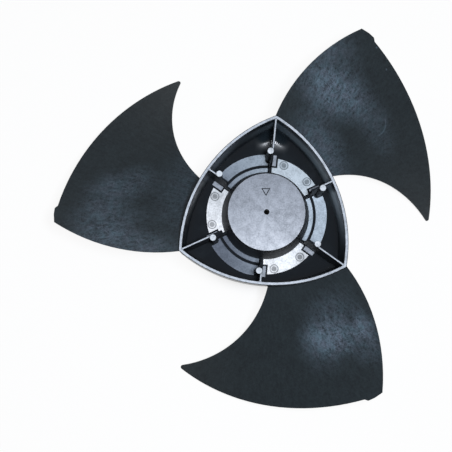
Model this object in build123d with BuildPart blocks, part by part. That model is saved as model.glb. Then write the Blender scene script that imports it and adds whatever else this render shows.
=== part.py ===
"""Axial fan with three swept blades on a rounded triangular hub, moulded in one piece.

Millimetres and degrees. Z is the shaft axis, Z = 0 is the disc face, +Z is the open side of the hub.
"""
import os
from math import atan2, cos, degrees, hypot, radians, sin, sqrt

from build123d import *

# Fan as a whole
fan_diameter = 380.0
blade_count = 3
corner_angle = 84.4
bite = 0.5  # how far a feature reaches into what carries it

# Hub shell, a triangle with bulging sides
corner_reach = 85.5
side_reach = 65.6
wall = 3.0
wall_draft = 1.0
corner_round = 2.5
rim_height = 12.5
rim_edge = 0.5
floor_depth = 34.4
floor_thickness = 2.8
cavity_round = 10.5
hub_chamfer = 8.6

# Drum with the disc that takes the shaft
disc_radius = 35.2
drum_base_radius = 40.8
disc_thickness = 3.0
drum_wall = 2.8
disc_edge = 0.6
thread_hole = 5.0
shaft_diameter = 8.0
shaft_clearance = 0.1
shaft_flat = 7.0
boss_diameter = 18.0
boss_depth = 27.0
bore_roof = 6.0
web_thickness = 2.2
web_depth = 18.0
mark_size = 8.2
mark_reach = 19.0
mark_angle = 92.0
mark_line = 0.8
mark_depth = 0.35

# Ribs between the drum and the wall
rib_count = 2 * blade_count
rib_thickness = 1.9
rib_drop = 0.3
rib_inner_reach = 43.5
rib_saddle = 10.0
fin_reach = 2.0
fin_drop = 4.0

# Floor plates, pads and posts
plate_lift = 1.3
plate_reach = 54.5
long_plate_reach = 57.0
plate_gap = 0.95
groove_radius = 45.6
groove_width = 2.0
notch_start = 45.2
notch_side = 6.8
pad_start = 46.8
pad_end = 56.8
pad_side = 1.2
pad_width = 4.0
pad_lift = 0.5
post_diameter = 5.6
post_reach = 53.3
post_side = 2.0
post_drop = 1.0
post_gap = 0.4
post_relief = 48.6
spot_reach = 50.0
spot_spread = 15.2
spot_diameter = 7.8
spot_line = 0.8
spot_depth = 0.4

# Blade: leading and trailing edge as angle and height over the radius
root_radius = 68.6
lead_angle_root = 30.9
lead_sweep = 0.226
lead_hook = 0.00106
lead_height_root = -26.6
lead_fall = 0.444
lead_drop = 0.0032
trail_angle_root = 84.8
trail_start = 85.4
trail_sweep = 0.2105
trail_height_root = 11.2
trail_crest = 92.4
trail_drop = 0.0019
camber = 0.47
root_thickness = 4.4
tip_thickness = 2.9
edge_thinning = 0.5

# Blade outline
tip_inset = 25.1
tip_round = 2.2
outer_slope = 0.402
outer_bulge = 0.0004
ear_angle = 57.8
ear_step = 1.8
ear_rise = 0.7
ear_length = 2.5
ear_round = 1.5
trail_step = 0.6

# Sizes that follow from the ones above
fan_radius = fan_diameter / 2
tip_radius = fan_radius - tip_inset
pitch_angle = 360.0 / blade_count
side_angle = corner_angle - pitch_angle / 2
half_pitch = 180.0 / rib_count
rim_top = rim_height
floor_top = -floor_depth
hub_bottom = floor_top - floor_thickness
half_chord = corner_reach * sqrt(3) / 2
sagitta = side_reach - corner_reach / 2
side_radius = (half_chord**2 + sagitta**2) / (2 * sagitta)
side_offset = side_radius - side_reach
inner_radius = side_radius - wall
plate_top = floor_top + plate_lift
plate_base = floor_top - bite
plate_inner = drum_base_radius - bite
slot_width = rib_thickness + 2 * plate_gap
relief_radius = post_diameter / 2 + post_gap
recess_roof = -disc_thickness
drum_slope = (drum_base_radius - disc_radius) / floor_depth
bore_radius = (shaft_diameter + shaft_clearance) / 2
flat_offset = shaft_flat - shaft_diameter / 2 + shaft_clearance / 2


def lead_angle(r):
    return lead_angle_root - lead_sweep * (r - root_radius) - lead_hook * (r - root_radius) ** 2


def lead_height(r):
    return lead_height_root - lead_fall * (r - root_radius) - lead_drop * (r - root_radius) ** 2


def trail_angle(r):
    return trail_angle_root - trail_sweep * (r - trail_start)


def trail_height(r):
    return trail_height_root - trail_drop * (r - trail_crest) ** 2


def outer_radius(angle):
    return tip_radius + outer_slope * angle + outer_bulge * angle**2


def polar(r, angle, z=0.0):
    return Vector(r * cos(radians(angle)), r * sin(radians(angle)), z)


def spread(start, end, count):
    """Evenly spaced values from start to end."""
    return [start + (end - start) * i / (count - 1) for i in range(count)]


def blade_height(x, y, side):
    """Height of a blade face: side is +1 for the upper face and -1 for the lower one."""
    r = hypot(x, y)
    u = (degrees(atan2(y, x)) - lead_angle(r)) / (trail_angle(r) - lead_angle(r))
    span = (r - root_radius) / (fan_radius - root_radius)
    thickness = root_thickness + (tip_thickness - root_thickness) * span
    thickness *= 1 - edge_thinning * (2 * u - 1) ** 2
    rise = trail_height(r) - lead_height(r)
    return lead_height(r) + rise * (u - camber * u * (1 - u)) + side * thickness / 2


tip_angle = lead_angle(tip_radius)
grid_angle = (tip_angle + trail_angle(tip_radius)) / 2
grid_width = 2 * (tip_radius * sin(radians(grid_angle - tip_angle)) + root_thickness)
blade_bottom = lead_height(fan_radius)
blade_top = rim_top + root_thickness
blade_depth = blade_top - blade_bottom


def blade_face(side):
    """Blade face over a straight grid about the blade's middle line, a little larger than the outline."""
    rows = []
    for along in spread(root_radius / 2, fan_radius + root_thickness, 9):
        row = []
        for across in spread(-grid_width / 2, grid_width / 2, 9):
            place = Vector(along, across).rotate(Axis.Z, grid_angle)
            row.append((place.X, place.Y, blade_height(place.X, place.Y, side)))
        rows.append(row)
    return Face.make_surface_from_array_of_points(rows)


# One blade: the outline as a prism, trimmed by the two faces
upper_face = blade_face(1)
lower_face = blade_face(-1)
lead_points = [polar(r, lead_angle(r)) for r in spread(side_reach - wall, tip_radius, 6)]
outer_points = [polar(outer_radius(angle), angle) for angle in spread(tip_angle, ear_angle, 5)]
ear_start = polar(fan_radius + ear_step, ear_angle + ear_rise)
ear_end = polar(fan_radius + ear_step, ear_angle + ear_length)
trail_points = [polar(r, trail_angle(r)) for r in spread(fan_radius + trail_step, side_reach, 6)]
with BuildPart() as blade:
    with BuildSketch(Plane.XY.offset(blade_bottom)) as outline:
        with BuildLine():
            Spline(*lead_points[:-1], outer_points[0])
            Spline(*outer_points)
            Polyline(outer_points[-1], ear_start, ear_end, trail_points[0])
            Spline(*trail_points)
            Line(trail_points[-1], lead_points[0])
        make_face()
        for point, radius in ((outer_points[0], tip_round), (ear_start, ear_round), (ear_end, 2 * ear_round)):
            fillet(outline.vertices().sort_by_distance(point)[0], radius)
    extrude(amount=blade_depth)
    extrude(to_extrude=upper_face, amount=2 * blade_depth, dir=(0, 0, -1), mode=Mode.INTERSECT)
    extrude(to_extrude=lower_face, amount=2 * blade_depth, dir=(0, 0, -1), mode=Mode.SUBTRACT)

# Hub body and its cavity: each bulging side is turned about its own upright axis
hub_sides = [side_angle + pitch_angle * i for i in range(blade_count)]


def side_plane(angle):
    return Plane(origin=polar(-side_offset, angle), x_dir=polar(1, angle), z_dir=polar(1, angle - 90))


with BuildPart() as hub_body:
    for i, angle in enumerate(hub_sides):
        with BuildSketch(side_plane(angle)):
            with BuildLine():
                Polyline(
                    (0, hub_bottom),
                    (side_radius - hub_chamfer, hub_bottom),
                    (side_radius, hub_bottom + hub_chamfer),
                    (side_radius, rim_top),
                    (0, rim_top),
                    close=True,
                )
            make_face()
        revolve(axis=Axis(side_plane(angle).origin, (0, 0, 1)), mode=Mode.ADD if i == 0 else Mode.INTERSECT)
    fillet(hub_body.edges().filter_by(Axis.Z), corner_round)
    chamfer(hub_body.edges().group_by(Axis.Z)[-1], rim_edge)

with BuildPart() as cavity:
    for i, angle in enumerate(hub_sides):
        with BuildSketch(side_plane(angle)):
            with BuildLine():
                floor = Line((0, floor_top), (inner_radius - wall_draft - cavity_round, floor_top))
                bend = JernArc(floor @ 1, floor % 1, cavity_round, 90)
                Polyline(
                    bend @ 1,
                    (inner_radius, rim_top - rim_edge),
                    (inner_radius + rim_edge, rim_top),
                    (inner_radius + rim_edge, rim_top + wall),
                    (0, rim_top + wall),
                    floor @ 0,
                )
            make_face()
        revolve(axis=Axis(side_plane(angle).origin, (0, 0, 1)), mode=Mode.ADD if i == 0 else Mode.INTERSECT)

# Floor plates, drawn about +X with a rib plane at half a rib pitch on either side
with BuildPart() as spot_plate:
    with BuildSketch(Plane.XY.offset(plate_base)):
        with BuildLine():
            Line((0, 0), polar(plate_reach, -half_pitch))
            CenterArc((0, 0), plate_reach, -half_pitch, 2 * half_pitch)
            Line(polar(plate_reach, half_pitch), (0, 0))
        make_face()
        Circle(plate_inner, mode=Mode.SUBTRACT)
        for hand in (-1, 1):
            with Locations(Location((0, 0), hand * half_pitch)):
                Rectangle(2 * plate_reach, slot_width, mode=Mode.SUBTRACT)
                with Locations((notch_start, -hand * notch_side / 2)):
                    Rectangle(plate_reach, notch_side, align=(Align.MIN, Align.CENTER), mode=Mode.SUBTRACT)
    extrude(amount=plate_top - plate_base)
    with BuildSketch(Plane.XY.offset(plate_top)):
        with Locations(polar(spot_reach, -spot_spread), polar(spot_reach, spot_spread)):
            Circle(spot_diameter / 2)
            Circle(spot_diameter / 2 - spot_line, mode=Mode.SUBTRACT)
    extrude(amount=-spot_depth, mode=Mode.SUBTRACT)

with BuildPart() as groove_plate:
    with BuildSketch(Plane.XY.offset(plate_base)):
        with BuildLine():
            Line((0, 0), polar(long_plate_reach, -half_pitch))
            CenterArc((0, 0), long_plate_reach, -half_pitch, 2 * half_pitch)
            Line(polar(long_plate_reach, half_pitch), (0, 0))
        make_face()
        Circle(groove_radius + groove_width / 2, mode=Mode.SUBTRACT)
        with BuildLine():
            Line((0, 0), polar(groove_radius - groove_width / 2, -half_pitch))
            CenterArc((0, 0), groove_radius - groove_width / 2, -half_pitch, 2 * half_pitch)
            Line(polar(groove_radius - groove_width / 2, half_pitch), (0, 0))
        make_face()
        Circle(plate_inner, mode=Mode.SUBTRACT)
        for hand in (-1, 1):
            with Locations(Location((0, 0), hand * half_pitch)):
                Rectangle(2 * long_plate_reach, slot_width, mode=Mode.SUBTRACT)
                with Locations((post_relief + relief_radius, -hand * post_side)):
                    Circle(relief_radius, mode=Mode.SUBTRACT)
                    Rectangle(
                        long_plate_reach,
                        2 * relief_radius,
                        align=(Align.MIN, Align.CENTER),
                        mode=Mode.SUBTRACT,
                    )
    extrude(amount=plate_top - plate_base)

# Ribs, seen along the tangent: high from the wall inward, then a saddle and a small fin at the drum
def rib_outline(reach):
    saddle = floor_top + rib_saddle
    return [
        (disc_radius - drum_wall, plate_base),
        (reach, plate_base),
        (reach, rim_top - rib_drop),
        (rib_inner_reach, rim_top - rib_drop),
        (rib_inner_reach, saddle),
        (disc_radius + fin_reach, saddle),
        (disc_radius + fin_reach, -fin_drop),
        (disc_radius, -disc_edge),
        (disc_radius - drum_wall, -disc_edge),
    ]


with BuildPart() as corner_rib:
    with BuildSketch(Plane.XZ):
        Polygon(*rib_outline(corner_reach - wall / 2), align=None)
    extrude(amount=rib_thickness / 2, both=True)

with BuildPart() as side_rib:
    with BuildSketch(Plane.XZ):
        Polygon(*rib_outline(side_reach - wall / 2), align=None)
    extrude(amount=rib_thickness / 2, both=True)

# Post on one flank of a rib and pad on the other, drawn about +X; hand turns them over
def post_and_pad(hand):
    with BuildPart() as fittings:
        with BuildSketch(Plane.XY.offset(plate_base)):
            with Locations((post_reach, hand * post_side)):
                Circle(post_diameter / 2)
        extrude(amount=rim_top - post_drop - plate_base)
        with BuildSketch(Plane.XY.offset(plate_base)):
            with Locations(((pad_start + pad_end) / 2, -hand * (pad_side + pad_width / 2))):
                Rectangle(pad_end - pad_start, pad_width)
        extrude(amount=plate_top + pad_lift - plate_base)
    return fittings.part


corner_fittings = post_and_pad(1)
side_fittings = post_and_pad(-1)
with BuildPart() as ribs:
    with PolarLocations(0, blade_count, start_angle=corner_angle):
        add(corner_rib.part)
    with PolarLocations(0, blade_count, start_angle=side_angle):
        add(side_rib.part)
    add(hub_body.part, mode=Mode.INTERSECT)

with BuildPart() as fan_blade:
    add(hub_body.part)
    with PolarLocations(0, blade_count):
        add(blade.part)
    add(cavity.part, mode=Mode.SUBTRACT)
    # Drum, ribs and floor
    with BuildSketch(Plane.XZ):
        Polygon(
            (0, floor_top - bite),
            (drum_base_radius, floor_top - bite),
            (drum_base_radius, floor_top),
            (disc_radius, -disc_edge),
            (disc_radius - disc_edge, 0),
            (0, 0),
            align=None,
        )
    revolve(axis=Axis.Z)
    add(ribs.part)
    with PolarLocations(0, blade_count, start_angle=corner_angle):
        add(corner_fittings)
    with PolarLocations(0, blade_count, start_angle=side_angle):
        add(side_fittings)
    with PolarLocations(0, blade_count, start_angle=corner_angle - half_pitch):
        add(spot_plate.part)
    with PolarLocations(0, blade_count, start_angle=corner_angle + half_pitch):
        add(groove_plate.part)
    # Recess behind the disc, with the shaft boss and its webs
    with BuildSketch(Plane.XZ):
        Polygon(
            (0, recess_roof),
            (disc_radius - drum_wall - drum_slope * recess_roof, recess_roof),
            (disc_radius - drum_wall - drum_slope * hub_bottom, hub_bottom),
            (0, hub_bottom),
            align=None,
        )
    revolve(axis=Axis.Z, mode=Mode.SUBTRACT)
    with BuildSketch(Plane.XY.offset(recess_roof + bite)):
        Circle(boss_diameter / 2)
    extrude(amount=recess_roof + bite + boss_depth, dir=(0, 0, -1))
    with BuildSketch(Plane.XY.offset(recess_roof + bite)):
        with PolarLocations(0, rib_count, start_angle=side_angle):
            Rectangle(disc_radius - drum_wall / 2, web_thickness, align=(Align.MIN, Align.CENTER))
    extrude(amount=web_depth, dir=(0, 0, -1))
    # Shaft bore with its flat, and the hole for the threaded end
    with BuildSketch(Plane.XY.offset(-boss_depth)):
        Circle(bore_radius)
        with Locations((flat_offset, 0)):
            Rectangle(bore_radius, 2 * bore_radius, align=(Align.MIN, Align.CENTER), mode=Mode.SUBTRACT)
    extrude(amount=boss_depth - bore_roof, mode=Mode.SUBTRACT)
    with BuildSketch(Plane.XY):
        Circle(thread_hole / 2)
    extrude(amount=-boss_depth, mode=Mode.SUBTRACT)
    # Small triangle on the disc
    with BuildSketch(Plane(origin=polar(mark_reach, mark_angle), x_dir=polar(1, mark_angle - 90))):
        RegularPolygon(mark_size / sqrt(3), 3, rotation=-90)
        RegularPolygon(mark_size / sqrt(3) - 2 * mark_line, 3, rotation=-90, mode=Mode.SUBTRACT)
    extrude(amount=-mark_depth, mode=Mode.SUBTRACT)

fan_blade.part.label = "fan_blade"
os.makedirs("parts", exist_ok=True)
export_step(fan_blade.part, "parts/fan_blade.step")
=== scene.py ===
"""Dresses the moulded three-blade fan and sets it on a plain studio floor."""
import math
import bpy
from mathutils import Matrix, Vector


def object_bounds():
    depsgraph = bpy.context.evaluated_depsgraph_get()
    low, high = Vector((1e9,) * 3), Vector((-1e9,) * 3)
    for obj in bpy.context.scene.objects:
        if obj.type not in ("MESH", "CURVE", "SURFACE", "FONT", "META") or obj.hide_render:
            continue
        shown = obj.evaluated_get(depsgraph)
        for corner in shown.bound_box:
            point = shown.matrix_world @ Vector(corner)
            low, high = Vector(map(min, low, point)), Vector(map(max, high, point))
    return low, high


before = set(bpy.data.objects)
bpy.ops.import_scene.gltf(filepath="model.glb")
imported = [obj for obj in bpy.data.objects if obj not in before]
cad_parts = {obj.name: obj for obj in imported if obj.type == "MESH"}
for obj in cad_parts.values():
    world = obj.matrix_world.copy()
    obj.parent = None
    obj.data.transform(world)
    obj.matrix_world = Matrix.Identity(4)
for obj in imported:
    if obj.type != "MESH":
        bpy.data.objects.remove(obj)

from types import SimpleNamespace

import bmesh
import bpy
from mathutils import Vector

bl_info = {
    "name": "Three-blade fan dresser",
    "version": (1, 0, 0),
    "blender": (4, 5, 0),
    "location": "View3D > Sidebar > Fan",
    "description": "Gives the moulded fan its finish and stages it on a pale floor",
    "category": "Object",
}

FAN = "fan_blade"
CAD_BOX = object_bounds()
WHITE = (1.0, 1.0, 1.0, 1.0)
MILLIMETRES = 1000.0

# Places on the solid are in millimetres and degrees, and a pair holds the two ends of a soft edge

# Hub sides: their number, angle of the first, radius of an arc, distance of its axis from the fan's
SIDES = 3
SIDE_ANGLE = 24.4
SIDE_RADIUS = 131.4
SIDE_OFFSET = 65.8
# Distance beyond the arcs of a blade's start, of the rim's inner edge and of the wall's middle
BLADE_EDGE = (0.2, 0.9)
RIM_EDGE = (-3.4, -3.0)
WALL_MIDDLE = (-2.4, -1.6)
# Upward part of the normal on flats, on sloping faces and on the upper side of a blade
FLAT_FACING = (0.93, 0.985)
SLOPE_FACING = (0.2, 0.5)
BLADE_FACING = (0.3, 0.6)

# Disc: its edge, its level, the level of the small sunk triangle, and where the drum under it ends
DISC_EDGE = (35.6, 36.4)
DISC_LEVEL = (-1.2, -0.8)
MARK_LEVEL = (-0.28, -0.12)
DRUM_EDGE = (36.6, 37.2)

# Heights: the frosted flats, painted pale as a painted reflection, lie above the first, plates lie
# below the second and pads below the third
FROST_LEVEL = (-33.75, -33.4)
PLATE_LEVEL = (-33.0, -32.8)
PAD_LEVEL = (-31.5, -31.0)
# Middle of the first plate with ringed spots, and the change from spotted to grooved, as a cosine
SPOT_PLATE_ANGLE = 54.4
SPOTTED_EDGE = (-0.05, 0.05)
# Ringed spots: distance from the axis, angle from the plate's middle, edges of the spot and of
# its ring, how dark both are
SPOT_REACH = 50.0
SPOT_SPREAD = 15.2
SPOT_EDGE = (2.0, 2.8)
RING_INSIDE = (3.1, 3.5)
RING_OUTSIDE = (4.0, 4.4)
SPOT_TONE = 0.55
RING_TONE = 0.5
# Groove of the other plates: middle radius, and edge of its dark line from there
GROOVE_RADIUS = 45.6
GROOVE_EDGE = (1.1, 1.6)

# Half the angle between two ribs, in radians; edge of the painted highlight line on a rib's top,
# and its start
RIB_HALF = math.radians(30.0)
RIB_LINE = (0.35, 0.75)
RIB_START = (54.0, 57.0)
# Posts: distance along the rib, distance to its side, edge of the painted highlight on the top
POST_REACH = 53.3
POST_SIDE = 2.0
POST_EDGE = (2.5, 2.9)

# Directions in which the painted sheen on the plates and the wall is strongest, with the wall's
# fall-off as a cosine
GROOVE_PALE_ANGLE = 20.0
SPOT_PALE_ANGLE = 234.0
WALL_PALE_ANGLE = 40.0
WALL_PALE_SPREAD = (0.30, 0.98)
# Painted sheen band on the walls, a painted reflection: foot and head in height, distance from the
# axis
WALL_FOOT = (-30.0, -14.0)
WALL_HEAD = (-3.0, 9.0)
WALL_REACH = (58.0, 60.0)
# Corner that is polished down to its floor: direction, fall-off as a cosine, distance from the axis
POLISHED_ANGLE = 84.4
POLISHED_SPREAD = (0.965, 0.997)
POLISHED_REACH = (58.0, 70.0)
# Share of the wall's colour on the polished corner, where it is painted sheen, and on the clouds of
# the pocket floors
POLISHED_TONE = 0.45
CLOUD_TONE = 0.35
CLOUD_EDGE = (0.0, 0.3)
# Steep faces near the drum are dull as far out as this
FLANK_EDGE = (57.0, 58.5)
FLANK_ROUGHNESS = 0.6

# Scale of each noise, per millimetre, and of the rays, per radian
GRAIN_SCALE = 0.40
CLOUD_SCALE = 0.05
BEND_SCALE = 0.03
DRIFT_SCALE = 0.14
SKIN_SCALE = 0.75
PATCH_SCALE = 0.16
RAY_SCALE = 1.7
# Detail and roughness of the noise of streaks and grain, and of that of hairs, skin and patches
GRAIN_NOISE = (3.0, 0.7)
SKIN_NOISE = (2.0, 0.6)
# Middle of a noise that runs from 0 to 1
MIDDLE = 0.5

# Fibre: radius at which the streaks have their width, directions of loose hairs, and the weights
STREAK_RADIUS = 110.0
HAIR_TURNS = (25.0, 80.0, 140.0)
HAIR_LEVEL = 0.57
STREAK_WEIGHT = 2.0
HAIR_WEIGHT = 2.6
GRAIN_WEIGHT = 1.8
CLOUD_WEIGHT = 0.8
# How far hairs and bloom are bent out of line
BEND = 5.0
# Plastic of the blades between its deep and its skin colour: level, and change with the fibre
TONE_LEVEL = 0.45
TONE_FIBRE = 0.7

# Painted sheen on the blades, pale patches where the blades catch light, mottled by the fibre:
# middle, half length, half width, turn, strength
PAINTED_SHEENS = (
    ((49.0, 140.0), 54.0, 47.0, 104.0, 0.85),
    ((50.0, 59.0), 52.0, 30.0, 116.0, 0.98),
    ((99.0, 96.0), 53.0, 21.0, 121.0, 0.55),
    ((65.0, 110.0), 41.0, 29.0, 161.0, 1.38),
    ((-135.0, 26.0), 44.0, 22.0, 16.0, 0.82),
    ((-145.0, -6.0), 44.0, 26.0, 0.0, 0.92),
    ((-121.0, -30.0), 65.0, 21.0, 169.0, 0.90),
    ((-61.0, 29.0), 80.0, 43.0, 56.0, 0.44),
    ((57.0, -106.0), 47.0, 30.0, 80.0, 0.91),
    ((84.0, -100.0), 21.0, 11.0, -77.0, 0.95),
    ((57.0, -114.0), 29.0, 22.0, -3.0, 1.05),
    ((86.0, -114.0), 31.0, 22.0, -48.0, 0.85),
)
# Painted sheen: soft edge as a share of its size, level, change with the fibre, drift of its colour
PAINTED_SHEEN_EDGE = (0.15, 1.05)
PAINTED_SHEEN_LEVEL = 0.29
PAINTED_SHEEN_FIBRE = 0.40
DRIFT_EDGE = (0.30, 0.70)

# Scuff on the first blade: middle, radius, direction of the arc, its edge, its ends as a cosine
SCUFF_MIDDLE = (103.0, 89.0)
SCUFF_RADIUS = 12.2
SCUFF_ANGLE = -20.0
SCUFF_EDGE = (0.2, 0.9)
SCUFF_ENDS = (0.62, 0.85)
SCUFF_STRENGTH = 0.24
# Nicks on the first blade: middles, edge, strength
NICKS = ((103.1, 155.6), (114.2, 138.1))
NICK_EDGE = (0.4, 1.3)
NICK_STRENGTH = 0.35

# Sheen of the flats: weights of rays, patches and skin, and a painted shade across the disc, darker
# towards +y
RAY_WEIGHT = 0.55
PATCH_WEIGHT = 0.8
SKIN_WEIGHT = 0.9
DISC_SLOPE = 0.0045
# How far the flats go to the deep colour, how far the pads go to the disc's colour
SHEEN_LEVEL = 0.15
SHEEN_TONE = 0.9
PAD_TONE = 0.55
# Change of roughness with the sheen, on sunk lines and with the fibre
SHEEN_ROUGHNESS = 0.22
LINE_ROUGHNESS = 0.4
FIBRE_ROUGHNESS = 0.05

# Relief of streaks, grain and skin in units of the bump's distance, which is in metres
STREAK_RELIEF = 0.020
GRAIN_RELIEF = 0.012
SKIN_RELIEF = 0.006
BUMP_DISTANCE = 0.001
PLASTIC_IOR = 1.50

# Floor, in metres: ring over which it turns white, how white, and a painted shadow, dark at its
# middle, under the hub
WHITE_RING = (0.015, 0.085)
WHITE_SHARE = 0.92
SHADOW_MIDDLE = (0.004, 0.010)
SHADOW_EDGE = (0.0, 0.045)
SHADOW_COLOUR = (0.02, 0.02, 0.02, 1.0)
# Height, as a share of the way straight up, over which the room goes from horizon to ceiling
HORIZON_EDGE = (0.04, 0.16)
# Width of the camera's sensor, in millimetres
SENSOR_WIDTH = 36.0


class Field:
    """A shader socket: arithmetic on it adds Math nodes, and node() adds any other node."""

    def __init__(self, tree, socket=None):
        self.tree = tree
        self.socket = socket

    def node(self, kind, settings=None, sockets=None):
        """Adds a node, sets its settings, then gives its sockets their values and links."""
        made = self.tree.nodes.new(kind)
        for name, value in (settings or {}).items():
            setattr(made, name, value)
        for name, value in (sockets or {}).items():
            if isinstance(value, Field):
                self.tree.links.new(value.socket, made.inputs[name])
            else:
                made.inputs[name].default_value = value
        return Field(self.tree, made.outputs[0] if made.outputs else None)

    def __getitem__(self, name):
        return Field(self.tree, self.socket.node.outputs[name])

    def math(self, operation, *values):
        """A Math node that takes this value first."""
        sockets = dict(enumerate((self, *values)))
        return self.node("ShaderNodeMath", {"operation": operation}, sockets)

    def flip(self, operation, value):
        """A Math node that takes this value second."""
        return self.node("ShaderNodeMath", {"operation": operation}, {0: value, 1: self})

    def __add__(self, other):
        return self.math("ADD", other)

    __radd__ = __add__

    def __sub__(self, other):
        return self.math("SUBTRACT", other)

    def __rsub__(self, other):
        return self.flip("SUBTRACT", other)

    def __mul__(self, other):
        return self.math("MULTIPLY", other)

    __rmul__ = __mul__

    def __truediv__(self, other):
        return self.math("DIVIDE", other)

    def __rtruediv__(self, other):
        return self.flip("DIVIDE", other)

    def __abs__(self):
        return self.math("ABSOLUTE")

    def hypot(self, other):
        """The distance that two distances at right angles add up to."""
        return (self * self + other * other).math("SQRT")

    def ease(self, low, high):
        """A smooth step from 0 at low to 1 at high."""
        settings = {"interpolation_type": "SMOOTHSTEP"}
        sockets = {"Value": self, "From Min": low, "From Max": high}
        return self.node("ShaderNodeMapRange", settings, sockets)

    def blend(self, low, high):
        """A value that goes from low to high as this one goes from 0 to 1."""
        return low + self * (high - low)

    def tint(self, low, high):
        """A colour that goes from low to high as this value goes from 0 to 1."""
        settings = {"data_type": "RGBA"}
        return self.node("ShaderNodeMix", settings, {0: self, 6: low, 7: high})[2]

    def vector(self, operation, sockets):
        return self.node("ShaderNodeVectorMath", {"operation": operation}, sockets)

    def noise(self, place, scale, detail=2.0, roughness=0.5):
        """Soft noise from 0 to 1 at a scale given per unit of place."""
        sockets = {"Vector": place, "Scale": scale, "Detail": detail, "Roughness": roughness}
        return self.node("ShaderNodeTexNoise", None, sockets)


def new_material(name):
    """An empty node material, and a field to build its nodes with."""
    material = bpy.data.materials.new(name)
    material.use_nodes = True
    material.node_tree.nodes.clear()
    return material, Field(material.node_tree)


class FanFinish(bpy.types.PropertyGroup):
    """Colours, roughness and streaks of the moulding."""

    deep_colour: bpy.props.FloatVectorProperty(
        name="Deep colour", description="Plastic where the fibre lies deep", subtype="COLOR",
        size=4, min=0.0, max=1.0, default=(0.0025, 0.0070, 0.0105, 1.0))
    skin_colour: bpy.props.FloatVectorProperty(
        name="Skin colour", description="Plastic where the fibre lies near the skin",
        subtype="COLOR", size=4, min=0.0, max=1.0, default=(0.0150, 0.0240, 0.0285, 1.0))
    # Colours of the painted sheen on the blades
    painted_sheen_colour: bpy.props.FloatVectorProperty(
        name="Bloom colour", description="Blade where the fibre shows at the skin", subtype="COLOR",
        size=4, min=0.0, max=1.0, default=(0.0960, 0.1500, 0.1900, 1.0))
    painted_sheen_cast: bpy.props.FloatVectorProperty(
        name="Bloom cast", description="Colour that the bloom drifts to", subtype="COLOR",
        size=4, min=0.0, max=1.0, default=(0.1140, 0.1420, 0.1860, 1.0))
    # Pale colours of the flats and plates: a painted reflection of the lamp on the black plastic
    painted_frost_sheen: bpy.props.FloatVectorProperty(
        name="Frost colour", description="Rim, rib tops and pads", subtype="COLOR",
        size=4, min=0.0, max=1.0, default=(0.430, 0.470, 0.520, 1.0))
    post_colour: bpy.props.FloatVectorProperty(
        name="Post colour", description="Tops of the posts", subtype="COLOR",
        size=4, min=0.0, max=1.0, default=(0.560, 0.600, 0.640, 1.0))
    disc_colour: bpy.props.FloatVectorProperty(
        name="Disc colour", description="Face of the disc", subtype="COLOR",
        size=4, min=0.0, max=1.0, default=(0.158, 0.185, 0.233, 1.0))
    spot_plate_colour: bpy.props.FloatVectorProperty(
        name="Spotted plate colour", description="Plates with ringed spots", subtype="COLOR",
        size=4, min=0.0, max=1.0, default=(0.410, 0.480, 0.530, 1.0))
    spot_plate_sheen: bpy.props.FloatVectorProperty(
        name="Spotted plate sheen", description="Spotted plates on their paler side",
        subtype="COLOR", size=4, min=0.0, max=1.0, default=(0.800, 0.800, 0.800, 1.0))
    groove_plate_colour: bpy.props.FloatVectorProperty(
        name="Grooved plate colour", description="Plates with a groove", subtype="COLOR",
        size=4, min=0.0, max=1.0, default=(0.060, 0.080, 0.118, 1.0))
    groove_plate_sheen: bpy.props.FloatVectorProperty(
        name="Grooved plate sheen", description="Grooved plates on their paler side",
        subtype="COLOR", size=4, min=0.0, max=1.0, default=(0.460, 0.545, 0.620, 1.0))
    # Colours of the painted sheen band on the walls, dim and pale side; the dim one also lightens
    # the polished corner
    wall_colour: bpy.props.FloatVectorProperty(
        name="Wall colour", description="Walls half way down, and the polished corner",
        subtype="COLOR", size=4, min=0.0, max=1.0, default=(0.0180, 0.0260, 0.0320, 1.0))
    wall_sheen: bpy.props.FloatVectorProperty(
        name="Wall sheen", description="Inner walls on their paler side", subtype="COLOR",
        size=4, min=0.0, max=1.0, default=(0.2300, 0.2900, 0.3400, 1.0))
    pocket_colour: bpy.props.FloatVectorProperty(
        name="Pocket colour", description="Walls and floor between the ribs", subtype="COLOR",
        size=4, min=0.0, max=1.0, default=(0.0026, 0.0050, 0.0078, 1.0))
    blade_roughness: bpy.props.FloatProperty(
        name="Blade roughness", description="Satin of the blades", subtype="FACTOR",
        min=0.0, max=1.0, default=0.46)
    corner_roughness: bpy.props.FloatProperty(
        name="Corner roughness", description="Polish of the one corner that glints",
        subtype="FACTOR", min=0.0, max=1.0, default=0.20)
    wall_roughness: bpy.props.FloatProperty(
        name="Wall roughness", description="Sheen of the hub walls", subtype="FACTOR",
        min=0.0, max=1.0, default=0.34)
    pocket_roughness: bpy.props.FloatProperty(
        name="Pocket roughness", description="Dull floor between the ribs", subtype="FACTOR",
        min=0.0, max=1.0, default=1.0)
    frost_roughness: bpy.props.FloatProperty(
        name="Frost roughness", description="Sheen of the rim, rib tops, posts and pads",
        subtype="FACTOR", min=0.0, max=1.0, default=0.55)
    disc_roughness: bpy.props.FloatProperty(
        name="Disc roughness", description="Sheen of the disc", subtype="FACTOR",
        min=0.0, max=1.0, default=0.40)
    spot_plate_roughness: bpy.props.FloatProperty(
        name="Spotted plate roughness", description="Sheen of the plates with ringed spots",
        subtype="FACTOR", min=0.0, max=1.0, default=0.44)
    groove_plate_roughness: bpy.props.FloatProperty(
        name="Grooved plate roughness", description="Sheen of the plates with a groove",
        subtype="FACTOR", min=0.0, max=1.0, default=0.62)
    streak_length: bpy.props.FloatProperty(
        name="Streak length", description="Length of the flow streaks on the blades",
        unit="LENGTH", min=0.001, max=0.05, default=0.008)
    streak_width: bpy.props.FloatProperty(
        name="Streak width", description="Width of the flow streaks at mid blade",
        unit="LENGTH", min=0.0005, max=0.02, default=0.0022)


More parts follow.
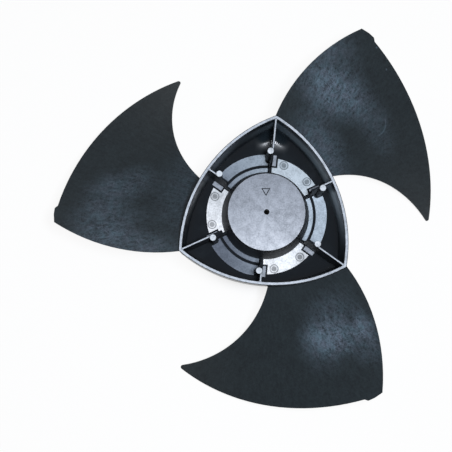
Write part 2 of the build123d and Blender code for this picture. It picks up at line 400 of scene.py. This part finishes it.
class FanStage(bpy.types.PropertyGroup):
    """Floor, room, lamps and camera."""

    floor_size: bpy.props.FloatProperty(
        name="Floor size", description="Half width of the floor", unit="LENGTH", default=20.0)
    floor_colour: bpy.props.FloatVectorProperty(
        name="Floor colour", description="Pale floor", subtype="COLOR", size=4,
        min=0.0, max=1.0, default=(0.9, 0.9, 0.9, 1.0))
    horizon_level: bpy.props.FloatProperty(
        name="Horizon level", description="Brightness of the room near the horizon",
        subtype="FACTOR", min=0.0, max=1.0, default=1.0)
    ceiling_level: bpy.props.FloatProperty(
        name="Ceiling level", description="Brightness of the room overhead",
        subtype="FACTOR", min=0.0, max=1.0, default=0.16)
    softbox_power: bpy.props.FloatProperty(
        name="Softbox power", description="Power of the lamp over the hub",
        unit="POWER", default=7.6)
    softbox_size: bpy.props.FloatProperty(
        name="Softbox size", description="Width of the lamp over the hub",
        unit="LENGTH", default=0.10)
    softbox_place: bpy.props.FloatVectorProperty(
        name="Softbox place", description="Middle of the lamp over the hub",
        subtype="TRANSLATION", default=(0.06, -0.06, 0.90))
    softbox_colour: bpy.props.FloatVectorProperty(
        name="Softbox colour", description="Colour of the lamp over the hub",
        subtype="COLOR", min=0.0, default=(0.93, 0.98, 1.07))
    flash_power: bpy.props.FloatProperty(
        name="Flash power", description="Power of the small lamp beside the camera",
        unit="POWER", default=1.0)
    flash_size: bpy.props.FloatProperty(
        name="Flash size", description="Width of the small lamp beside the camera",
        unit="LENGTH", default=0.03)
    flash_place: bpy.props.FloatVectorProperty(
        name="Flash place", description="Middle of the small lamp beside the camera",
        subtype="TRANSLATION", default=(-0.034, -0.080, 0.88))
    flash_colour: bpy.props.FloatVectorProperty(
        name="Flash colour", description="Colour of the small lamp beside the camera",
        subtype="COLOR", min=0.0, default=(0.95, 0.98, 1.05))
    camera_place: bpy.props.FloatVectorProperty(
        name="Camera place", description="Where the camera stands", subtype="TRANSLATION",
        default=(-0.03373, -0.08816, 0.85558))
    camera_turn: bpy.props.FloatVectorProperty(
        name="Camera turn", description="How the camera is turned", subtype="EULER",
        default=(math.radians(4.3862), math.radians(-0.7747), 0.0))
    camera_lens: bpy.props.FloatProperty(
        name="Lens", description="Focal length of the camera", unit="CAMERA", default=76.725)
    camera_shift: bpy.props.FloatVectorProperty(
        name="Shift", description="Sideways and upward shift of the frame", size=2,
        default=(-0.03513, 0.02448))


def solid_places(field):
    """Where a point of the solid lies, in millimetres and radians, and how far it faces up."""
    coordinates = field.node("ShaderNodeTexCoord")
    place = field.vector("SCALE", {0: coordinates["Object"], "Scale": MILLIMETRES})
    axes = field.node("ShaderNodeSeparateXYZ", None, {0: place})
    plan = field.node("ShaderNodeCombineXYZ", None, {"X": axes["X"], "Y": axes["Y"]})
    outside = None
    for side in range(SIDES):
        turn = math.radians(SIDE_ANGLE + 360.0 / SIDES * side)
        axis = (-SIDE_OFFSET * math.cos(turn), -SIDE_OFFSET * math.sin(turn), 0.0)
        beyond = field.vector("DISTANCE", {0: plan, 1: axis})["Value"] - SIDE_RADIUS
        outside = beyond if outside is None else outside.math("MAXIMUM", beyond)
    angle = axes["Y"].math("ARCTAN2", axes["X"])
    return SimpleNamespace(
        place=place, plan=plan, y=axes["Y"], z=axes["Z"], outside=outside, angle=angle,
        sector=angle - math.radians(SPOT_PLATE_ANGLE),
        radius=field.vector("LENGTH", {0: plan})["Value"],
        around=field.vector("NORMALIZE", {0: plan}),
        facing=field.node("ShaderNodeSeparateXYZ", None, {0: coordinates["Normal"]})["Z"])


def toward(at, direction):
    """Cosine of the angle round the axis from a direction in degrees."""
    return (at.angle - math.radians(direction)).math("COSINE")


def pale_side(at, direction):
    """1 in a direction in degrees, falling to 0 on the opposite side."""
    return toward(at, direction) * 0.5 + 0.5


def hub_zones(at):
    """Where each finish lies, from 0 to 1."""
    blade = at.outside.ease(*BLADE_EDGE)
    disc = (1.0 - at.radius.ease(*DISC_EDGE)) * at.z.ease(*DISC_LEVEL)
    plate = 1.0 - at.z.ease(*PLATE_LEVEL)
    spotted = (SIDES * at.sector).math("COSINE").ease(*SPOTTED_EDGE)

    # The six ribs folded onto one, with a painted highlight line along its top and a post beside it
    lean = (at.sector - RIB_HALF).math("WRAP", RIB_HALF, -RIB_HALF)
    beside = at.radius * lean.math("SINE")
    hand = (SIDES * at.sector).math("SINE").math("SIGN")
    post_along = at.radius * lean.math("COSINE") - POST_REACH
    post = 1.0 - post_along.hypot(beside - hand * POST_SIDE).ease(*POST_EDGE)
    line = (1.0 - abs(beside).ease(*RIB_LINE)) * at.radius.ease(*RIB_START)
    above_pads = at.z.ease(*PAD_LEVEL)
    raised = above_pads * at.radius.ease(*DRUM_EDGE) * (1.0 - at.outside.ease(*RIM_EDGE))
    # Frosted flats: rough, and painted pale as a painted reflection
    frosted = (1.0 - blade) * at.facing.ease(*FLAT_FACING) * at.z.ease(*FROST_LEVEL)
    frosted = frosted * raised.blend(1.0, post.math("MAXIMUM", line))

    # The six ringed spots folded onto one, and the groove of the plates between
    fold = abs(at.sector.math("WRAP", 2.0 * RIB_HALF, -2.0 * RIB_HALF)) - math.radians(SPOT_SPREAD)
    along = at.radius * fold.math("COSINE") - SPOT_REACH
    spot = along.hypot(at.radius * fold.math("SINE"))
    ring = spot.ease(*RING_INSIDE) * (1.0 - spot.ease(*RING_OUTSIDE))
    spot_tone = (1.0 - spot.ease(*SPOT_EDGE)) * SPOT_TONE + ring * RING_TONE
    groove = 1.0 - abs(at.radius - GROOVE_RADIUS).ease(*GROOVE_EDGE)

    corner = toward(at, POLISHED_ANGLE).ease(*POLISHED_SPREAD) * at.radius.ease(*POLISHED_REACH)
    return SimpleNamespace(
        blade=blade, disc=disc, plate=plate, spotted=spotted, post=post, frosted=frosted,
        corner=corner, sloped=at.facing.ease(*SLOPE_FACING), pad=1.0 - above_pads,
        unmarked=at.z.ease(*MARK_LEVEL), spot_tone=plate * spotted * spot_tone,
        groove=groove * plate * (1.0 - spotted))


def blade_fibre(field, at, finish):
    """Flow streaks, loose hairs, grain and clouds, each about 0, and their sum."""
    length = finish.streak_length * MILLIMETRES
    width = finish.streak_width * MILLIMETRES
    spun = field.vector("SCALE", {0: at.around, "Scale": STREAK_RADIUS / width})
    lift = field.node("ShaderNodeCombineXYZ", None, {"Z": at.radius / length})
    streak = field.noise(field.vector("ADD", {0: spun, 1: lift}), 1.0, *GRAIN_NOISE) - MIDDLE
    grain = field.noise(at.place, GRAIN_SCALE, *GRAIN_NOISE) - MIDDLE
    cloud = field.noise(at.place, CLOUD_SCALE) - MIDDLE
    bend = field.noise(at.place, BEND_SCALE)["Color"]
    spread = (2.0 * BEND, 2.0 * BEND, 0.0)
    bend = field.vector("MULTIPLY_ADD", {0: bend, 1: spread, 2: (-BEND, -BEND, 0.0)})
    warped = field.vector("ADD", {0: at.plan, 1: bend})
    hairs = None
    for turn in HAIR_TURNS:
        sockets = {"Vector": warped, "Rotation": (0.0, 0.0, math.radians(turn)),
                   "Scale": (length, width / 2.0, 1.0)}
        strand = field.node("ShaderNodeMapping", {"vector_type": "TEXTURE"}, sockets)
        hair = field.noise(strand, 1.0, *SKIN_NOISE)
        hairs = hair if hairs is None else hairs.math("MAXIMUM", hair)
    total = streak * STREAK_WEIGHT + (hairs - HAIR_LEVEL) * HAIR_WEIGHT
    total = total + grain * GRAIN_WEIGHT + cloud * CLOUD_WEIGHT
    return SimpleNamespace(streak=streak, grain=grain, cloud=cloud, warped=warped, total=total)


def blade_painted_sheen(field, at, fibre):
    """Painted sheen on the blades, mottled by the fibre, with one curved scuff and two nicks."""
    painted_sheen = None
    # Painted sheen: pale patches where the blades catch light
    for middle, length, breadth, turn, strength in PAINTED_SHEENS:
        sockets = {"Vector": fibre.warped, "Location": (*middle, 0.0),
                   "Rotation": (0.0, 0.0, math.radians(turn)), "Scale": (length, breadth, 1.0)}
        local = field.node("ShaderNodeMapping", {"vector_type": "TEXTURE"}, sockets)
        reach = field.vector("LENGTH", {0: local})["Value"]
        patch = (1.0 - reach.ease(*PAINTED_SHEEN_EDGE)) * strength
        painted_sheen = patch if painted_sheen is None else painted_sheen + patch
    painted_sheen = painted_sheen * (PAINTED_SHEEN_LEVEL + fibre.total * PAINTED_SHEEN_FIBRE)

    away = field.vector("SUBTRACT", {0: at.plan, 1: (*SCUFF_MIDDLE, 0.0)})
    turn = math.radians(SCUFF_ANGLE)
    sockets = {0: away, 1: (math.cos(turn), math.sin(turn), 0.0)}
    ahead = field.vector("DOT_PRODUCT", sockets)["Value"] / SCUFF_RADIUS
    arc = abs(field.vector("LENGTH", {0: away})["Value"] - SCUFF_RADIUS)
    wear = (1.0 - arc.ease(*SCUFF_EDGE)) * ahead.ease(*SCUFF_ENDS) * SCUFF_STRENGTH
    for nick in NICKS:
        near = field.vector("DISTANCE", {0: at.plan, 1: (*nick, 0.0)})["Value"]
        wear = wear + (1.0 - near.ease(*NICK_EDGE)) * NICK_STRENGTH
    return (painted_sheen + wear) * at.facing.ease(*BLADE_FACING)


def paint_blades(field, at, fibre, finish):
    """Black plastic with fibre in it, and the painted sheen on top."""
    tone = TONE_LEVEL + fibre.total * TONE_FIBRE
    plastic = tone.tint(finish.deep_colour, finish.skin_colour)
    drift = field.noise(at.place, DRIFT_SCALE).ease(*DRIFT_EDGE)
    pale = drift.tint(finish.painted_sheen_colour, finish.painted_sheen_cast)
    return blade_painted_sheen(field, at, fibre).tint(plastic, pale)


def paint_pockets(at, zone, fibre, finish):
    """Black pockets between the ribs, with a painted sheen band on the walls and a painted paler
    polished corner.
    """
    # Painted reflection: a paler band half way down the inner walls, strongest on one side
    wall = (1.0 - zone.sloped) * at.z.ease(*WALL_FOOT) * (1.0 - at.z.ease(*WALL_HEAD))
    wall = wall * at.radius.ease(*WALL_REACH)
    pale = toward(at, WALL_PALE_ANGLE).ease(*WALL_PALE_SPREAD)
    inner = 1.0 - at.outside.ease(*WALL_MIDDLE)
    walls = (pale * wall * inner).tint(finish.wall_colour, finish.wall_sheen)
    # Painted sheen on the polished corner, and random clouds of tone on the pocket floors
    dull = zone.corner * POLISHED_TONE + fibre.cloud.ease(*CLOUD_EDGE) * CLOUD_TONE
    return dull.math("MAXIMUM", wall).tint(finish.pocket_colour, walls)


def paint_flats(at, zone, sheen, finish):
    """Painted reflection on the frosted rim, rib tops, posts, pads, plates and disc: pale colours
    on black plastic, each kind of plate paler on one side.
    """
    # Painted sheen: each kind of plate paler on one side
    pale = pale_side(at, GROOVE_PALE_ANGLE)
    grooved = pale.tint(finish.groove_plate_colour, finish.groove_plate_sheen)
    pale = pale_side(at, SPOT_PALE_ANGLE)
    spotted = pale.tint(finish.spot_plate_colour, finish.spot_plate_sheen)
    plates = zone.spotted.tint(grooved, spotted)
    plates = zone.spot_tone.math("MAXIMUM", zone.groove).tint(plates, finish.deep_colour)
    painted_flats = zone.post.tint(finish.painted_frost_sheen, finish.post_colour)
    painted_flats = (zone.pad * PAD_TONE).tint(painted_flats, finish.disc_colour)
    painted_flats = zone.plate.tint(painted_flats, plates)
    disc = zone.unmarked.tint(finish.deep_colour, finish.disc_colour)
    painted_flats = zone.disc.tint(painted_flats, disc)
    return (sheen * SHEEN_TONE + SHEEN_LEVEL).tint(painted_flats, finish.deep_colour)


def moulding_roughness(at, zone, fibre, sheen, finish):
    """Roughness of flats, pockets, walls and blades."""
    plates = zone.spotted.blend(finish.groove_plate_roughness, finish.spot_plate_roughness)
    flats = zone.disc.blend(zone.plate.blend(finish.frost_roughness, plates), finish.disc_roughness)
    lines = zone.spot_tone + zone.groove + zone.disc * (1.0 - zone.unmarked)
    flats = flats + sheen * SHEEN_ROUGHNESS + lines * LINE_ROUGHNESS
    pockets = zone.corner.blend(finish.pocket_roughness, finish.corner_roughness)
    walls = zone.corner.blend(finish.wall_roughness, finish.corner_roughness)
    flank = (1.0 - at.radius.ease(*FLANK_EDGE)) * (1.0 - zone.sloped)
    bare = flank.blend(zone.sloped.blend(walls, pockets), FLANK_ROUGHNESS)
    blades = finish.blade_roughness - fibre.total * FIBRE_ROUGHNESS
    return zone.blade.blend(zone.frosted.blend(bare, flats), blades)


def moulding_material(finish):
    """Black plastic with fibre in it: satin blades with a painted sheen, dark pockets with a
    painted sheen band on the walls, and frosted flats painted pale as a painted reflection.
    """
    material, field = new_material("black_moulding")
    at = solid_places(field)
    zone = hub_zones(at)
    fibre = blade_fibre(field, at, finish)

    # Rays, patches and fine skin of the frosted flats
    ray_place = field.vector("SCALE", {0: at.around, "Scale": RAY_SCALE})
    rays = field.noise(ray_place, 1.0) - MIDDLE
    skin = field.noise(at.place, SKIN_SCALE, *SKIN_NOISE) - MIDDLE
    patches = field.noise(at.place, PATCH_SCALE, *SKIN_NOISE) - MIDDLE
    sheen = rays * RAY_WEIGHT + patches * PATCH_WEIGHT + skin * SKIN_WEIGHT
    # Painted shade across the disc: darker towards +y, lighter towards -y
    sheen = sheen + zone.disc * at.y * DISC_SLOPE

    plastic = zone.blade.tint(
        paint_pockets(at, zone, fibre, finish), paint_blades(field, at, fibre, finish))
    colour = zone.frosted.tint(plastic, paint_flats(at, zone, sheen, finish))
    relief = zone.blade * (fibre.streak * STREAK_RELIEF + fibre.grain * GRAIN_RELIEF)
    relief = relief + zone.frosted * skin * SKIN_RELIEF
    bump = field.node("ShaderNodeBump", None, {
        "Strength": 1.0, "Distance": BUMP_DISTANCE, "Height": relief})
    surface = field.node("ShaderNodeBsdfPrincipled", None, {
        "Base Color": colour, "Roughness": moulding_roughness(at, zone, fibre, sheen, finish),
        "IOR": PLASTIC_IOR, "Normal": bump})
    field.node("ShaderNodeOutputMaterial", None, {"Surface": surface})
    return material


def floor_material(stage):
    """White floor that keeps the soft cast shadow, with a painted shadow added under the hub."""
    material, field = new_material("pale_floor")
    path = field.node("ShaderNodeLightPath")
    seen = path["Is Camera Ray"].math("MAXIMUM", path["Is Glossy Ray"])
    seen = seen.math("MAXIMUM", path["Is Transmission Ray"])
    coordinates = field.node("ShaderNodeTexCoord")["Object"]
    place = field.node("ShaderNodeSeparateXYZ", None, {0: coordinates})
    lit = seen * place["X"].hypot(place["Y"]).ease(*WHITE_RING) * WHITE_SHARE
    # Painted shadow: a dark patch on the floor under the hub
    shadow_x, shadow_y = SHADOW_MIDDLE
    away = (place["X"] - shadow_x).hypot(place["Y"] - shadow_y)
    shaded = away.ease(*SHADOW_EDGE).tint(SHADOW_COLOUR, stage.floor_colour)
    matt = field.node("ShaderNodeBsdfPrincipled", None, {
        "Base Color": shaded, "Roughness": 1.0, "Specular IOR Level": 0.0})
    white = field.node("ShaderNodeEmission", None, {"Color": WHITE, "Strength": 1.0})
    mixed = field.node("ShaderNodeMixShader", None, {0: lit, 1: matt, 2: white})
    field.node("ShaderNodeOutputMaterial", None, {"Surface": mixed})
    return material


def room_world(stage):
    """A room that is white round the horizon and dim overhead."""
    world = bpy.data.worlds.new("studio_room")
    world.use_nodes = True
    world.node_tree.nodes.clear()
    field = Field(world.node_tree)
    way = field.node("ShaderNodeTexCoord")["Generated"]
    height = field.node("ShaderNodeSeparateXYZ", None, {0: way})["Z"]
    horizon, ceiling = (
        field.node("ShaderNodeBackground", None, {"Color": WHITE, "Strength": level})
        for level in (stage.horizon_level, stage.ceiling_level))
    sockets = {0: height.ease(*HORIZON_EDGE), 1: horizon, 2: ceiling}
    room = field.node("ShaderNodeMixShader", None, sockets)
    field.node("ShaderNodeOutputWorld", None, {"Surface": room})
    return world


def hang_lamp(scene, name, place, size, power, colour):
    """A square soft lamp that faces the middle of the fan."""
    light = bpy.data.lights.new(name, "AREA")
    light.size = size
    light.energy = power
    light.color = colour
    lamp = bpy.data.objects.new(name, light)
    lamp.location = place
    lamp.rotation_euler = (-Vector(place)).to_track_quat("-Z", "Y").to_euler()
    lamp.visible_camera = False
    scene.collection.objects.link(lamp)


class FAN_OT_dress(bpy.types.Operator):
    """Gives the moulded fan its plastic finish"""

    bl_idname = "fan.dress"
    bl_label = "Dress the fan"

    def execute(self, context):
        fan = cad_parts.get(FAN)
        if fan is None:
            raise RuntimeError("the packed frame has no fan to dress")
        material = moulding_material(context.scene.fan_finish)
        fan.data.materials.clear()
        fan.data.materials.append(material)
        return {"FINISHED"}


class FAN_OT_stage(bpy.types.Operator):
    """Lays the floor, hangs the lamps and sets the camera"""

    bl_idname = "fan.stage"
    bl_label = "Set the stage"

    def execute(self, context):
        scene = context.scene
        stage = scene.fan_stage
        lowest = CAD_BOX[0]
        sheet = bmesh.new()
        bmesh.ops.create_grid(sheet, x_segments=1, y_segments=1, size=stage.floor_size)
        bmesh.ops.translate(sheet, verts=sheet.verts, vec=(0.0, 0.0, lowest.z))
        mesh = bpy.data.meshes.new("floor")
        sheet.to_mesh(mesh)
        sheet.free()
        mesh.materials.append(floor_material(stage))
        floor = bpy.data.objects.new("floor", mesh)
        scene.collection.objects.link(floor)

        hang_lamp(scene, "softbox", stage.softbox_place, stage.softbox_size,
                  stage.softbox_power, stage.softbox_colour)
        hang_lamp(scene, "flash", stage.flash_place, stage.flash_size,
                  stage.flash_power, stage.flash_colour)
        scene.world = room_world(stage)

        eye = bpy.data.cameras.new("camera")
        eye.sensor_width = SENSOR_WIDTH
        eye.lens = stage.camera_lens
        eye.shift_x, eye.shift_y = stage.camera_shift
        camera = bpy.data.objects.new("camera", eye)
        camera.location = stage.camera_place
        camera.rotation_euler = stage.camera_turn
        scene.collection.objects.link(camera)
        scene.camera = camera
        scene.view_settings.view_transform = "Standard"
        return {"FINISHED"}


class FAN_PT_panel(bpy.types.Panel):
    """Sidebar panel with the steps and their settings"""

    bl_idname = "FAN_PT_panel"
    bl_label = "Three-blade fan"
    bl_space_type = "VIEW_3D"
    bl_region_type = "UI"
    bl_category = "Fan"

    def draw(self, context):
        layout = self.layout
        for step in (FAN_OT_dress, FAN_OT_stage):
            layout.operator(step.bl_idname)
        for group in (context.scene.fan_finish, context.scene.fan_stage):
            for name in group.__annotations__:
                layout.prop(group, name)


CLASSES = (FanFinish, FanStage, FAN_OT_dress, FAN_OT_stage, FAN_PT_panel)


def register():
    for item in CLASSES:
        bpy.utils.register_class(item)
    bpy.types.Scene.fan_finish = bpy.props.PointerProperty(type=FanFinish)
    bpy.types.Scene.fan_stage = bpy.props.PointerProperty(type=FanStage)


def unregister():
    del bpy.types.Scene.fan_stage
    del bpy.types.Scene.fan_finish
    for item in reversed(CLASSES):
        bpy.utils.unregister_class(item)


def main():
    register()
    bpy.ops.fan.dress()
    bpy.ops.fan.stage()


if __name__ == "__main__":
    main()
